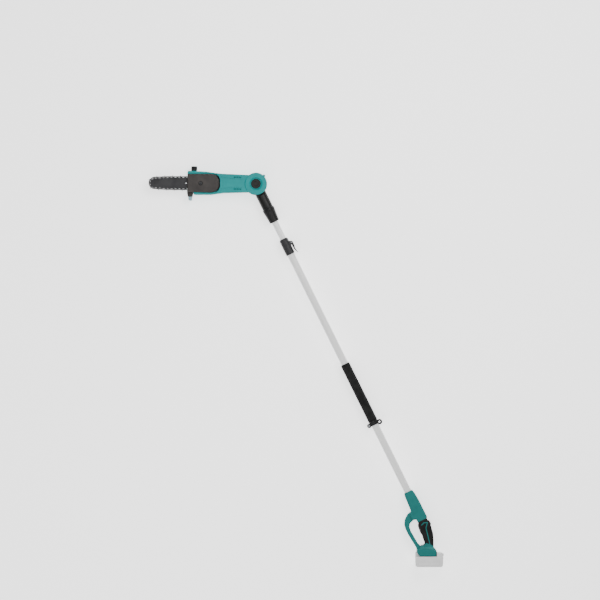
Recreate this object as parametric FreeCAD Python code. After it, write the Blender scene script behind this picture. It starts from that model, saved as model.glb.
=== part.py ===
# Telescoping pole saw, lying on its side.
# Built with the pole along X, the head at +X and its hub at the origin; millimetres, +Z up.
import FreeCAD, Part
from FreeCAD import Vector
import math
import os

os.makedirs("parts", exist_ok=True)

# fits
running = 0.05          # radial clearance of a shaft that turns or slides
gap = 0.4               # clearance between pieces that don't touch
wall = 2.8              # moulded shell thickness

# pole
reach = 1634.0          # hub centre to the handle's mouth
inner_tube_r = 15.0
slide_room = 1.2        # between the two tubes, filled by the bush
outer_tube_wall = 1.3
outer_tube_r = inner_tube_r + slide_room + outer_tube_wall
inner_tube_wall = 1.4
travel = 600.0          # how far the pole extends
overlap = 170.0         # inner tube left inside at full reach
clamp_top = 291.7       # hub centre to the clamp's head end
clamp_length = 80.7
clamp_wall = 3.9
clamp_r = outer_tube_r + clamp_wall
clamp_nose = 44.0       # part of the clamp that grips the inner tube
grip_top = 953.8
grip_length = 302.2
foam_wall = 4.5
grip_r = outer_tube_r + foam_wall
collar_width = 18.5

# neck and coupling
spigot_wall = 6.0
spigot_r = inner_tube_r + spigot_wall
neck_r = spigot_r + 5.0
coupling_r = spigot_r + 8.0
neck_half = 17.0        # half thickness of the eye inside the hub
neck_end = 127.8
coupling_length = 72.7

# head
head_angle = 63.2       # from the pole's direction to the bar's
hub_r = 52.7
hub_rim = 12.7
eye_r = hub_r - hub_rim
head_rear = -40.0
hub_face = 38.0
arm_face = 34.0
box_face = 26.0
bar_pad = 17.0
button_r = 23.0
button_stroke = 5.0
boss_r = 22.0

# saw
bar_thickness = 4.0
sprocket_x = 215.0
sprocket_teeth = 6
nose_teeth = 9
link_pitch = 18.64      # drive link to drive link
drive_links = 36
tang_depth = 8.2        # rivet line to the drive link's tip
spindle_r = 5.0
gear_module = 1.5
pinion_teeth = 12
gear_teeth = 38

# handle
body_wall = 5.5
body_half = outer_tube_r + body_wall
loop_half = 14.0
foot_half = 36.0
battery_half = 40.0
foot_angle = 63.71      # direction of the battery's rails from the pole's direction
foot_x = -1925.1 + 1634.0
foot_y = 33.2


# ---------------------------------------------------------------- shape helpers

def outline(points):
    """Closed face through (x, y) or (x, y, corner radius) points."""
    count = len(points)
    corners = []
    for index, point in enumerate(points):
        radius = point[2] if len(point) > 2 else 0
        here = Vector(point[0], point[1], 0)
        back = Vector(points[index - 1][0], points[index - 1][1], 0) - here
        ahead = Vector(points[(index + 1) % count][0], points[(index + 1) % count][1], 0) - here
        turn = math.pi - back.getAngle(ahead)
        reach_back = radius * math.tan(turn / 2)
        longest = 0.48 * min(back.Length, ahead.Length)
        if reach_back > longest:
            radius, reach_back = radius * longest / reach_back, longest
        back.normalize()
        ahead.normalize()
        if radius < 0.01 or turn < 0.001:
            corners.append((here, here, here))
            continue
        middle = (back + ahead).normalize() * (radius / math.cos(turn / 2) - radius)
        corners.append((here + back * reach_back, here + middle, here + ahead * reach_back))
    edges = []
    for index, (start, middle, end) in enumerate(corners):
        if (start - end).Length > 1e-6:
            edges.append(Part.Arc(start, middle, end).toShape())
        following = corners[(index + 1) % count][0]
        if (following - end).Length > 1e-6:
            edges.append(Part.makeLine(end, following))
    return Part.Face(Part.Wire(edges))


def slab(points, low, high, edge=0.0, ends="both"):
    """Outline raised from low to high, its rims rounded by edge."""
    face = outline(points) if isinstance(points, list) else points.copy()
    face.translate(Vector(0, 0, low))
    solid = face.extrude(Vector(0, 0, high - low))
    return rounded(solid, edge, ends) if edge else solid


def rounded(solid, edge, ends="both"):
    """Round the flat rims of a slab."""
    box = solid.BoundBox
    levels = {"both": (box.ZMin, box.ZMax), "top": (box.ZMax,), "bottom": (box.ZMin,)}[ends]
    rims = [e for e in solid.Edges if e.BoundBox.ZLength < 1e-6
            and min(abs(e.BoundBox.ZMin - level) for level in levels) < 1e-6]
    return solid.makeFillet(edge, rims)


def disc(radius, low, high, x=0.0, y=0.0):
    return Part.makeCylinder(radius, high - low, Vector(x, y, low), Vector(0, 0, 1))


def washer(outer, inner, low, high, x=0.0, y=0.0):
    return disc(outer, low, high, x, y).cut(disc(inner, low - 1, high + 1, x, y))


def rod(radius, start, end, y=0.0, z=0.0):
    return Part.makeCylinder(radius, end - start, Vector(start, y, z), Vector(1, 0, 0))


def pipe(outer, inner, start, end, y=0.0, z=0.0):
    return rod(outer, start, end, y, z).cut(rod(inner, start - 1, end + 1, y, z))


def block(x0, x1, y0, y1, z0, z1):
    return Part.makeBox(x1 - x0, y1 - y0, z1 - z0, Vector(x0, y0, z0))


def turned(profile, axis):
    """Solid of revolution from (along, radius) pairs about X or Z."""
    if axis == "x":
        points = [Vector(along, radius, 0) for along, radius in profile]
        direction = Vector(1, 0, 0)
    else:
        points = [Vector(radius, 0, along) for along, radius in profile]
        direction = Vector(0, 0, 1)
    face = Part.Face(Part.makePolygon(points + points[:1]))
    return face.revolve(Vector(0, 0, 0), direction, 360)


def fuse(shapes):
    return shapes[0].multiFuse(shapes[1:]).removeSplitter()


def cut(shape, tools):
    return shape.cut(tools)


def moved(shape, x=0.0, y=0.0, z=0.0, turn=0.0):
    result = shape.copy()
    if turn:
        result.rotate(Vector(0, 0, 0), Vector(0, 0, 1), turn)
    result.translate(Vector(x, y, z))
    return result


def on_head(shape):
    """From the head's own axes, bar along +X, to the pole's."""
    return moved(shape, turn=head_angle)


def on_handle(shape):
    """From the handle's mouth at zero to its place on the pole."""
    return moved(shape, x=-reach)


def on_foot(shape):
    """From the battery rails' own axes to the pole's."""
    return moved(shape, foot_x - reach, foot_y, 0, foot_angle)


def coil(pitch, length, radius, wire):
    """Square wire, of the given half width, wound along +Z from the origin."""
    path = Part.makeHelix(pitch, length, radius)
    corners = [Vector(radius + dx, 0, dz) for dx, dz in ((-wire, -wire), (wire, -wire), (wire, wire), (-wire, wire))]
    return Part.Wire(path).makePipeShell([Part.makePolygon(corners + corners[:1])], True, True)


def hexagon(across, low, high, x=0.0, y=0.0):
    radius = across / math.sqrt(3)
    points = [(x + radius * math.cos(math.radians(60 * k)), y + radius * math.sin(math.radians(60 * k)))
              for k in range(6)]
    return slab(points, low, high)


def pan_screw(length, shank, head):
    """Screw with its head's underside at zero, pointing down."""
    body = fuse([disc(head, 0, 0.7 * shank + 1, 0, 0), disc(shank, -length, 0.5)])
    return body.cut(hexagon(head * 0.9, 0.8, 5))


# ---------------------------------------------------------------- pole

def outer_tube():
    inside = outer_tube_r - outer_tube_wall
    return pipe(outer_tube_r, inside, -reach - 66, -clamp_top - clamp_nose - 2)


def inner_tube():
    foot = -clamp_top - clamp_nose - travel - overlap
    return pipe(inner_tube_r, inner_tube_r - inner_tube_wall, foot, -neck_end - 22)


def guide_bush():
    foot = -clamp_top - clamp_nose - travel - overlap
    outside = outer_tube_r - outer_tube_wall - running
    return pipe(outside, inner_tube_r, foot, foot + 45)


def foam_grip():
    end = -grip_top
    start = end - grip_length
    r = grip_r
    profile = [(start, outer_tube_r), (start, r - 2), (start + 2, r), (end - 3, r), (end, r - 3),
               (end, outer_tube_r)]
    return turned(profile, "x")


clamp_end = -clamp_top - clamp_length
lever_x = -clamp_top - 31
lever_y = -clamp_r - 6.1


def clamp_collar():
    top = -clamp_top
    r = clamp_r
    profile = [(clamp_end, 0), (clamp_end, r - 2), (clamp_end + 3, r), (top - 6, r), (top, r - 3.4), (top, 0)]
    ears = [slab([(lever_x - 15, -15), (lever_x - 7, lever_y - 1, 4), (lever_x + 7, lever_y - 1, 4),
                  (lever_x + 15, -15)], low, low + 4.5) for low in (8.2, -12.7)]
    ears += [disc(6.5, low, low + 4.5, lever_x, lever_y) for low in (8.2, -12.7)]
    body = fuse([turned(profile, "x")] + ears)
    window = block(lever_x - 8, lever_x + 8, -40, -10, -8 + 0.0, 8)
    return cut(body, [rod(outer_tube_r, clamp_end - 1, top - clamp_nose - 2),
                      rod(inner_tube_r + running, clamp_end - 1, top + 1), window,
                      disc(2.5, -20, 20, lever_x, lever_y)])


def clamp_shoe():
    """Pad between the lever's cam and the inner tube."""
    pad = block(lever_x - 7.6, lever_x + 7.6, lever_y + 8.1, -10, -7.6, 7.6)
    return pad.cut(rod(inner_tube_r + 2 * running, lever_x - 20, lever_x + 20))


def clamp_lever():
    tail = lever_x - 56
    y = lever_y
    sweep = [(lever_x - 30, y - 4.7, 20), (tail + 10, y - 6.7, 10), (tail, y - 10), (tail, y - 7.7),
             (lever_x - 42, y, 20), (lever_x - 26, y + 2.3, 10)]
    arm = slab([(lever_x + 5, y - 5, 4), (lever_x - 12, y - 8.5, 10)] + sweep + [(lever_x - 10, y + 2.9)],
               -7.6, 7.6)
    wide = slab([(lever_x - 17, y - 8.4, 4)] + sweep + [(lever_x - 17, y + 2.5)], -12.5, 12.5)
    cam = disc(8.0, -7.6, 7.6, lever_x, lever_y)
    return fuse([arm, wide, cam]).cut(disc(2.5 + running, -20, 20, lever_x, lever_y))


def clamp_pin():
    return disc(2.5, -13.5, 13.5, lever_x, lever_y)


collar_end = -grip_top - grip_length - gap - collar_width
ear_x = collar_end + 6
ear_y = grip_r + 5.0
eye_y = -grip_r - 4.1


def strap_collar():
    ring = rod(grip_r, collar_end, collar_end + collar_width)
    ears = fuse([disc(10, -9, 9, ear_x, ear_y), block(ear_x - 7, ear_x + 9, 12, ear_y, -9, 9)])
    eye = fuse([disc(13, -4, 4, ear_x - 3, eye_y), block(ear_x - 6, ear_x + 10, eye_y + 2.1, -12, -4, 4)])
    body = fuse([ring, ears, eye])
    split = block(collar_end - 9, collar_end + 40, 10, 60, -1.2, 1.2)
    return cut(body, [rod(outer_tube_r, collar_end - 20, collar_end + 40), split,
                      disc(4.25, -20, 20, ear_x - 3, eye_y), disc(2.5, -20, 20, ear_x, ear_y + 1),
                      disc(5, 5, 20, ear_x, ear_y + 1), hexagon(8.2, -20, -5.5, ear_x, ear_y + 1)])


def strap_bolt():
    """Screw and nut that close the collar."""
    return Part.makeCompound([moved(pan_screw(13, 2.5, 4.6), ear_x, ear_y + 1, 5),
                              washer(3.9, 2.5, -9, -5.6, ear_x, ear_y + 1)])


def power_cord():
    """Lead through the pole: straight from the handle, coiled, then straight to the neck."""
    start = -reach - 80
    low = -reach + 20
    turns = 18
    radius = 9.0
    wire = 2.2
    spring = coil(9.0, 9.0 * turns, radius, wire)
    spring.rotate(Vector(0, 0, 0), Vector(0, 1, 0), 90)
    spring.translate(Vector(low, 0, 0))
    return spring


# ---------------------------------------------------------------- neck

def neck():
    eye = disc(eye_r, -neck_half, neck_half)
    web = rod(neck_r, -neck_end, 0).common(block(-neck_end, 0, -40, 40, -neck_half, neck_half))
    tube = turned([(-neck_end, 0), (-neck_end, neck_r), (-hub_r - 8, neck_r), (-hub_r - 3, neck_half + 2),
                   (-hub_r - 3, 0)], "x")
    spigot = rod(spigot_r, -neck_end - coupling_length + 3.6, -neck_end + 1)
    body = fuse([eye, web, tube, spigot])
    body = cut(body, [rod(inner_tube_r, -260, -neck_end - 22), rod(inner_tube_r - 1.4, -260, -hub_r - 12),
                      rod(6, -260, -eye_r + 12), disc(boss_r + running, -40, 40)])
    return fuse([body, lock_teeth(boss_r + 3, boss_r - 1.0, boss_r - 2.4, 24)])


def lock_teeth(outer, root, tip, count):
    """Ring with teeth pointing inward, in the middle of the eye."""
    ring = washer(outer, root, -5, 5)
    teeth = [moved(block(tip, root + 1, -1.1, 1.1, -5, 5), turn=360 / count * k) for k in range(count)]
    return fuse([ring] + teeth).cut(rod(6, -80, -5))


def coupling_sleeve():
    top = -neck_end - gap
    r = coupling_r
    end = -neck_end - coupling_length
    inner = spigot_r + running
    lip = inner_tube_r + 0.6
    profile = [(top, inner), (top, r - 2.5), (top - 3, r), (top - 10, r), (end + 25, r - 3.7),
               (end + 3, r - 5.4), (end, r - 6.4), (end, lip), (end + 3, lip), (end + 3, inner)]
    body = turned(profile, "x")
    grooves = []
    for k in range(16):
        groove = rod(2.4, end + 22, top - 12, 0, r + 0.4)
        groove.rotate(Vector(0, 0, 0), Vector(1, 0, 0), 22.5 * k)
        grooves.append(groove)
    return cut(body, grooves)


# ---------------------------------------------------------------- head

hook_x = 311.5
box_start = 172.0
nose_face = 325.0
cover_points = [(nose_face, -43.0, 3), (nose_face, 41.0, 3), (212, 42.5, 10), (184, 34, 12), (175, 15, 12),
                (175, -18, 12), (185, -37, 12), (212, -44, 10)]
pocket_points = [(nose_face + 9, -43.9), (nose_face + 9, 41.9), (212, 44.3, 10), (181, 39.6, 20),
                 (169.4, 17, 20), (169.4, -20, 20), (181.4, -42.0, 20), (212, -45.8, 10)]


def head_solid():
    """Whole head housing, before it is hollowed and split."""
    hub = rounded(disc(hub_r, head_rear, hub_face), 4)
    arm = slab([(12, -41, 3), (165, -46.5, 60), (190, -49, 30), (190, 48, 20), (165, 45.6, 60), (12, 40, 3)],
               head_rear, arm_face, 5)
    box = slab([(150, -45, 10), (200, -51, 60), (236, -56, 60), (nose_face, -59.5, 8), (nose_face, 38, 7.5),
                (297, 39, 3), (296, 54.5, 8), (212, 53.5, 40), (150, 44.5, 10)], head_rear, box_face, 5)
    filler = Part.makeCylinder(11, 3, Vector(294, -57, -6), Vector(0, -1, 0))
    return fuse([hub, arm, box, filler])


def neck_slot():
    """Room for the eye and for the neck's swing from straight to square."""
    side = neck_r + 1.6
    return fuse([disc(eye_r + 1, -neck_half - gap, neck_half + gap),
                 block(-hub_r - 10, side, -side, hub_r + 30, -neck_half - gap, neck_half + gap)])


def head_cavity():
    arm = slab([(62, -37, 4), (165, -42.5, 40), (183, -44, 10), (183, 43, 10), (165, 42, 40), (62, 36, 4)],
               head_rear + wall, arm_face - wall)
    box = slab([(178, -44, 5), (236, -51, 40), (nose_face - 4, -55, 4), (nose_face - 4, 34, 4),
                (293, 36, 3), (292, 50, 6), (212, 49.5, 40), (178, 43, 5)], head_rear + wall, 10.0)
    tank_side = slab([(240, -52.5, 4), (nose_face - 4, -55, 4), (nose_face - 4, -47.6), (240, -47.6, 3)], 5, 21)
    return fuse([arm, box, tank_side])


def vents():
    """Two rows of short slots in each face of the arm, the rear rows nearer the middle to shut out a line of sight."""
    slots = []
    for y, low, high in ((-29.5, 0, 60), (26.5, 0, 60), (-14.0, -60, 0), (11.0, -60, 0)):
        for k in range(5):
            x = 72.0 + 7.5 * k
            slots.append(slab([(x - 1.7, y - 4.2, 1.6), (x + 1.7, y - 4.2, 1.6), (x + 1.7, y + 4.2, 1.6),
                               (x - 1.7, y + 4.2, 1.6)], low, high))
    return slots


def arm_lines():
    """Shallow grooves that frame the arm's middle panel, and three short marks beside the cover."""
    floor = arm_face - 0.9
    grooves = [stroke([(66, -20.5), (108, -21.5), (166, -31)], 1.2, floor, 60),
               stroke([(66, 17.5), (108, 18.5), (166, 25)], 1.2, floor, 60)]
    grooves += [stroke([(157, y), (157, y + 6)], 2.0, floor - 0.4, 60) for y in (-14, -3, 8)]
    return grooves


boss_places = [(68.0, -31.0), (68.0, 30.0), (170.0, -34.0), (170.0, 34.0), (232.0, 43.0), (317.4, 27.0)]


def head_body():
    solid = cut(head_solid(), [head_cavity(), neck_slot()])
    bosses = [disc(5.0, head_rear + 1, arm_face - 1 if x < box_start else 12, x, y) for x, y in boss_places]
    solid = fuse([solid] + [b.common(head_solid()) for b in bosses])
    pocket = slab(pocket_points, 14.0, 60)
    pad = slab([(240, -16, 3), (300, -16, 3), (300, 16, 3), (240, 16, 3)], 8, bar_pad)
    solid = fuse([cut(solid, [pocket]), pad])
    front_boss = washer(boss_r, 8 + running, 8, neck_half + 2)
    rear_boss = washer(boss_r, boss_r - 2.8, -neck_half - 2, -8)
    solid = fuse([solid, front_boss, rear_boss])
    ring = turned([(hub_face - 3.6, button_r + 1), (hub_face - 3.6, button_r + 3), (hub_face + 1, button_r + 11),
                   (hub_face + 1, button_r + 1)], "z")
    button_well = disc(button_r + running, 23, 80)
    return cut(solid, vents() + arm_lines() + [
        ring, button_well, disc(8 + running, 0, 60), disc(boss_r - 2.8, -34, -8),
        disc(14.0, -20, 40, sprocket_x, 0), disc(4.0, 0, 60, 262, 0),
        hexagon(13.0, 2, bar_pad - 7, 262, 0), block(262, 322, 11.4, 20.6, 7.7, 16.3),
        block(283, 293, 13, 19, 16, 20), branch_hook(),
        Part.makeCylinder(7.5, 40, Vector(294, -50, -6), Vector(0, -1, 0))])


def seam_screw_holes():
    holes = []
    for x, y in boss_places:
        holes += [disc(1.7, head_rear - 1, 11, x, y), disc(3.6, head_rear - 1, head_rear + 4, x, y)]
    return holes


def head_shell_front(body):
    half = body.common(block(-90, 400, -120, 120, 0, 80))
    return cut(half, seam_screw_holes())


def head_shell_rear(body):
    half = body.common(block(-90, 400, -120, 120, -80, 0))
    return cut(half, seam_screw_holes())


def head_screws():
    screws = []
    for x, y in boss_places:
        screw = pan_screw(26, 1.7, 3.2)
        screw.rotate(Vector(0, 0, 0), Vector(1, 0, 0), 180)
        screws.append(moved(screw, x, y, head_rear + 4))
    return Part.makeCompound(screws)


def hub_tab():
    """Small latch block standing proud of the hub's rim."""
    tab = slab([(hub_r - 0.2, -6, 1), (hub_r + 6.5, -5, 1.5), (hub_r + 6.5, 5, 1.5), (hub_r - 0.2, 6, 1)],
               neck_half + 5, hub_face - 5)
    tab = tab.cut(disc(hub_r, -60, 60))
    return moved(tab, turn=225)


def tilt_button():
    """Cap, stem and lock gear in one moulding."""
    top = hub_face - 3.5
    cap = turned([(top - 6, 0), (top - 6, button_r), (top - 1.5, button_r), (top, button_r - 2),
                  (top, 12), (top - 1.2, 10), (top - 1.2, 0)], "z")
    stem = disc(8, -12, top - 5)
    gear = [disc(boss_r - 5.4, -17, -9)]
    gear += [moved(block(boss_r - 7, boss_r - 3.4, -1.1, 1.1, -17, -9), turn=15 * k) for k in range(24)]
    return fuse([cap, stem] + gear)


def button_spring():
    return moved(coil(4.4, 13.2, 11.0, 0.9), z=-32.6)


def gear_shape(teeth, backlash):
    """Involute spur gear face, coarse but conjugate."""
    m = gear_module
    pitch_r = m * teeth / 2
    base_r = pitch_r * math.cos(math.radians(25))
    tip_r = pitch_r + 0.85 * m
    root_r = pitch_r - 1.2 * m
    half = math.pi / (2 * teeth) - backlash / (2 * pitch_r)
    involute = lambda r: math.sqrt(max((r / base_r) ** 2 - 1, 0)) - math.atan(math.sqrt(max((r / base_r) ** 2 - 1, 0)))
    start = max(base_r, root_r)
    flank = []
    for step in range(6):
        r = start + (tip_r - start) * step / 5
        flank.append((r, half + involute(pitch_r) - involute(r)))
    if root_r < base_r:
        flank.insert(0, (root_r, flank[0][1]))
    points = []
    for k in range(teeth):
        centre = 2 * math.pi * k / teeth
        side = [(r, centre - angle) for r, angle in flank] + [(r, centre + angle) for r, angle in flank[::-1]]
        points += [Vector(r * math.cos(a), r * math.sin(a), 0) for r, a in side]
    return Part.Face(Part.makePolygon(points + points[:1]))


motor_x = sprocket_x - gear_module * (pinion_teeth + gear_teeth) / 2


def motor_can():
    can = washer(24.5, 22.8, -34, -3, motor_x)
    lids = [washer(24.5, 5.5, -36, -34, motor_x), washer(24.5, 5.5, -3, -1, motor_x)]
    magnets = [block(motor_x + 19, motor_x + 24, -8, 8, -31, -6).common(disc(23.4, -40, 40, motor_x))]
    magnets = [m.rotated(Vector(motor_x, 0, 0), Vector(0, 0, 1), 90 * k) for m in magnets for k in range(4)]
    return fuse([can] + lids + magnets)


def motor_rotor():
    shaft = disc(2.5, -35.5, 0.5, motor_x)
    core = washer(17.5, 2.4, -29, -8, motor_x)
    slots = [moved(block(10, 30, -1, 1, -30, 0), motor_x, turn=40 * k) for k in range(9)]
    return fuse([shaft, cut(core, slots)])


def bearings():
    """Two in the motor's lids and two on the spindle."""
    return Part.makeCompound([washer(5.5, 2.5 + running, -35.9, -34.1, motor_x),
                              washer(5.5, 2.5 + running, -2.9, -1.1, motor_x),
                              washer(9.5, spindle_r + running, -9, -2, sprocket_x),
                              washer(13.9, spindle_r + running, 8, 13.5, sprocket_x)])


def pinion():
    face = gear_shape(pinion_teeth, 0.35)
    body = face.extrude(Vector(0, 0, 7))
    body.rotate(Vector(0, 0, 0), Vector(0, 0, 1), 180 / pinion_teeth)
    return moved(body, motor_x, 0, 0.5)


def drive_gear():
    body = gear_shape(gear_teeth, 0.35).extrude(Vector(0, 0, 5))
    holes = [disc(5, -1, 8, 17 * math.cos(math.radians(60 * k)), 17 * math.sin(math.radians(60 * k)))
             for k in range(6)]
    body = cut(body, holes + [disc(spindle_r, -1, 8)])
    body.rotate(Vector(0, 0, 0), Vector(0, 0, 1), 180 + (0 if gear_teeth % 2 == 0 else 180 / gear_teeth))
    return moved(body, sprocket_x, 0, 1.5)


def output_spindle():
    return fuse([disc(spindle_r, -9, bar_pad + 8, sprocket_x), disc(spindle_r - 1, -14, -9, sprocket_x)])


def gearcase():
    """Plate that carries the spindle's two bearings over the motor's front end."""
    lower = slab([(motor_x + 27, -20, 6), (sprocket_x + 28, -20, 10), (sprocket_x + 28, 20, 10),
                  (motor_x + 27, 20, 6)], -16, -1)
    lower = fuse([lower, disc(12, -16, -1, sprocket_x)])
    return cut(lower, [disc(spindle_r + 1, -20, 0, sprocket_x), disc(9.5, -10, 0, sprocket_x)])


def drive_sprocket():
    middle = bar_pad + bar_thickness / 2
    pitch_r = sprocket_pitch_r
    body = fuse([disc(pitch_r - tang_depth - 0.5, middle - 2.6, middle + 2.6),
                 disc(pitch_r - 4.6, middle - 2.6, middle - 0.8), disc(pitch_r - 4.6, middle + 0.8, middle + 2.6)])
    teeth = []
    for k in range(sprocket_teeth):
        tooth = slab([(pitch_r - tang_depth - 1, -2.2), (pitch_r - 3.6, -1.3, 0.6), (pitch_r - 3.6, 1.3, 0.6),
                      (pitch_r - tang_depth - 1, 2.2)], middle - 0.6, middle + 0.6)
        teeth.append(moved(tooth, turn=180 + 360 / sprocket_teeth * (k + 0.5)))
    body = fuse([body] + teeth)
    return moved(body.cut(disc(spindle_r, 0, 40)), sprocket_x)


def spindle_clip():
    ring = washer(8.2, spindle_r - 0.6, 0, 1.0).cut(block(0, 12, -2.2, 2.2, -1, 3))
    ring = ring.cut(disc(spindle_r, -1, 3))
    return moved(ring, sprocket_x, 0, bar_pad + 5.6)


# ---------------------------------------------------------------- bar and chain

half_mid = 30.4         # rivet line's distance from the bar's middle
bar_circles = [(sprocket_x + 75.0, half_mid), (sprocket_x + 205.0, half_mid - 0.4)]
sprocket_pitch_r = link_pitch * sprocket_teeth / (2 * math.pi)
nose_pitch_r = link_pitch * nose_teeth / (2 * math.pi)


def chain_path(nose_x):
    """Loop of arcs and lines round the sprocket, the bar's edges and the nose, as (length, point maker)."""
    circles = [(sprocket_x, sprocket_pitch_r)] + bar_circles + [(nose_x, nose_pitch_r)]
    leans = []
    for (xa, ra), (xb, rb) in zip(circles, circles[1:]):
        leans.append(math.asin((rb - ra) / (xb - xa)))
    pieces = []
    start = math.pi
    for index, (x, r) in enumerate(circles):
        stop = math.pi / 2 + leans[index] if index < len(leans) else 0.0
        pieces.append(("arc", x, r, start, stop))
        if index < len(leans):
            xb, rb = circles[index + 1]
            direction = (math.cos(stop), math.sin(stop))
            a = (x + r * direction[0], r * direction[1])
            b = (xb + rb * direction[0], rb * direction[1])
            pieces.append(("line", a, b, stop, None))
            start = stop
    return pieces


def piece_length(piece):
    if piece[0] == "arc":
        return piece[2] * abs(piece[3] - piece[4])
    return math.dist(piece[1], piece[2])


def half_loop(nose_x):
    return sum(piece_length(p) for p in chain_path(nose_x))


def find_nose():
    """Bar length that closes the loop on a whole number of drive links."""
    low, high = 410.0, 700.0
    for _ in range(60):
        middle = (low + high) / 2
        if 2 * half_loop(middle) < drive_links * link_pitch:
            low = middle
        else:
            high = middle
    return low


nose_x = find_nose()


def chain_point(distance):
    """Point and heading on the loop, starting at the sprocket's rear and running over the top edge."""
    whole = 2 * half_loop(nose_x)
    distance %= whole
    mirrored = distance > whole / 2
    run = whole - distance if mirrored else distance
    for piece in chain_path(nose_x):
        length = piece_length(piece)
        if run <= length + 1e-9:
            break
        run -= length
    if piece[0] == "arc":
        angle = piece[3] - run / piece[2]
        x, y = piece[1] + piece[2] * math.cos(angle), piece[2] * math.sin(angle)
        heading = angle - math.pi / 2
    else:
        share = run / length
        x = piece[1][0] + (piece[2][0] - piece[1][0]) * share
        y = piece[1][1] + (piece[2][1] - piece[1][1]) * share
        heading = piece[3] - math.pi / 2
    if mirrored:
        return x, -y, math.pi - heading
    return x, y, heading


def bar_face(inset):
    """Bar outline: the chain path moved inward, with a narrow tail."""
    top = [(238.0, 9.0, 3), (244.0, half_mid - inset - 7, 12)]
    for x, r in bar_circles:
        top.append((x, r - inset, 60))
    nose_r = nose_pitch_r - inset
    lean = math.asin((bar_circles[-1][1] - nose_pitch_r) / (nose_x - bar_circles[-1][0]))
    body = outline(top + [(nose_x, nose_r / math.cos(lean))] + [(nose_x, -nose_r / math.cos(lean))]
                   + [(x, -y, r) for x, y, r in top[::-1]])
    return body, nose_r


def guide_bar():
    rail = 4.0
    low, high = bar_pad, bar_pad + bar_thickness
    middle = (low + high) / 2
    face, nose_r = bar_face(rail)
    plate = fuse([slab(face, low, high), disc(nose_r, low, high, nose_x)])
    inner_face, inner_r = bar_face(rail + 6.0)
    core = fuse([slab(inner_face, middle - 0.8, middle + 0.8),
                 disc(inner_r, middle - 0.8, middle + 0.8, nose_x)])
    groove = block(200, 700, -60, 60, middle - 0.8, middle + 0.8).cut(core)
    nose_room = disc(nose_r + 1, middle - 0.8, middle + 0.8, nose_x)
    slot = slab([(250, -4.05, 4), (276, -4.05, 4), (276, 4.05, 4), (250, 4.05, 4)], low - 1, high + 1)
    holes = [disc(2.4, low - 1, high + 1, 331, 0), disc(3.0, low - 1, high + 1, 288, 16)]
    return cut(plate, [groove, nose_room, slot, disc(3.0, low - 1, high + 1, nose_x)] + holes)


def nose_rivet():
    low, high = bar_pad, bar_pad + bar_thickness
    return fuse([disc(3.0, low, high, nose_x), disc(4.4, high, high + 0.4, nose_x),
                 disc(4.4, low - 0.4, low, nose_x)])


def nose_sprocket():
    middle = bar_pad + bar_thickness / 2
    wheel = disc(nose_pitch_r - tang_depth - 0.5, middle - 0.6, middle + 0.6)
    for k in range(nose_teeth):
        tooth = slab([(nose_pitch_r - tang_depth - 1, -2.4), (nose_pitch_r - 3.6, -1.3, 0.6),
                      (nose_pitch_r - 3.6, 1.3, 0.6), (nose_pitch_r - tang_depth - 1, 2.4)],
                     middle - 0.6, middle + 0.6)
        wheel = wheel.fuse(moved(tooth, turn=360 / nose_teeth * (k + 0.5) + nose_offset()))
    return moved(wheel.cut(disc(3.0 + running, 0, 40)), nose_x)


def nose_offset():
    """Angle of the drive link nearest the nose, so the teeth stand between links."""
    best = min((abs(chain_point(k * link_pitch)[1]), k) for k in range(drive_links)
               if chain_point(k * link_pitch)[0] > nose_x)
    x, y, heading = chain_point(best[1] * link_pitch)
    return math.degrees(math.atan2(y, x - nose_x))


def along_chain(shape, distance):
    x, y, heading = chain_point(distance)
    return moved(shape, x, y, bar_pad + bar_thickness / 2, math.degrees(heading))


def chain_drive_links():
    link = slab([(-7.2, -3.2, 3), (7.2, -3.2, 3), (7.2, 2.6, 2.5), (-7.2, 2.6, 2.5)], -0.55, 0.55)
    tang = slab([(-4.6, -3.0), (4.4, -3.0), (1.6, -tang_depth, 1), (-1.6, -tang_depth, 1)], -0.55, 0.55)
    link = link.fuse(tang).removeSplitter()
    return Part.makeCompound([along_chain(link, k * link_pitch) for k in range(drive_links)])


def side_links(wanted):
    """Every other pair of outer links carries a cutter on one side."""
    strap = [(-7.4, -3.4, 3), (7.4, -3.4, 3), (7.4, 3.2, 3), (-7.4, 3.2, 3)]
    cutter = [(-7.4, -3.4, 3), (7.4, -3.4, 3), (7.4, 6.2, 1), (3.6, 7.0, 1), (2.2, 1.8, 2), (-3.4, 1.8, 2),
              (-5.6, 5.0, 1), (-7.4, 4.6, 1)]
    shapes = []
    for k in range(drive_links):
        place = (k + 0.5) * link_pitch
        is_cutter = k % 2 == 0
        for side in (-1, 1):
            low, high = (0.85, 2.35) if side > 0 else (-2.35, -0.85)
            bladed = is_cutter and (side > 0) == (k % 4 == 0)
            if bladed == (wanted == "cutter"):
                shapes.append(along_chain(slab(cutter if bladed else strap, low, high), place))
    return Part.makeCompound(shapes)


def bar_stud():
    stud = fuse([disc(4.0, bar_pad - 7, 36, 262, 0), hexagon(13, bar_pad - 12, bar_pad - 7, 262, 0)])
    return stud


def bar_nut():
    top = bar_pad + bar_thickness + 9
    return hexagon(13, top, top + 6.5, 262, 0).cut(disc(4.0, 0, 60, 262, 0))


def chain_tensioner():
    """Screw along the bar with a pin that sits in the bar's small hole."""
    screw = fuse([rod(2.5, 270, 318, 16, 11.8), rod(4, 318, 321, 16, 11.8)])
    block_ = block(283, 293, 11.5, 20.5, 10.2, 16.2)
    return fuse([screw.common(block(260, 330, 0, 40, 10.3, 20)), block_, disc(2.8, 15, bar_pad + 3.5, 288, 16)])


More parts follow.
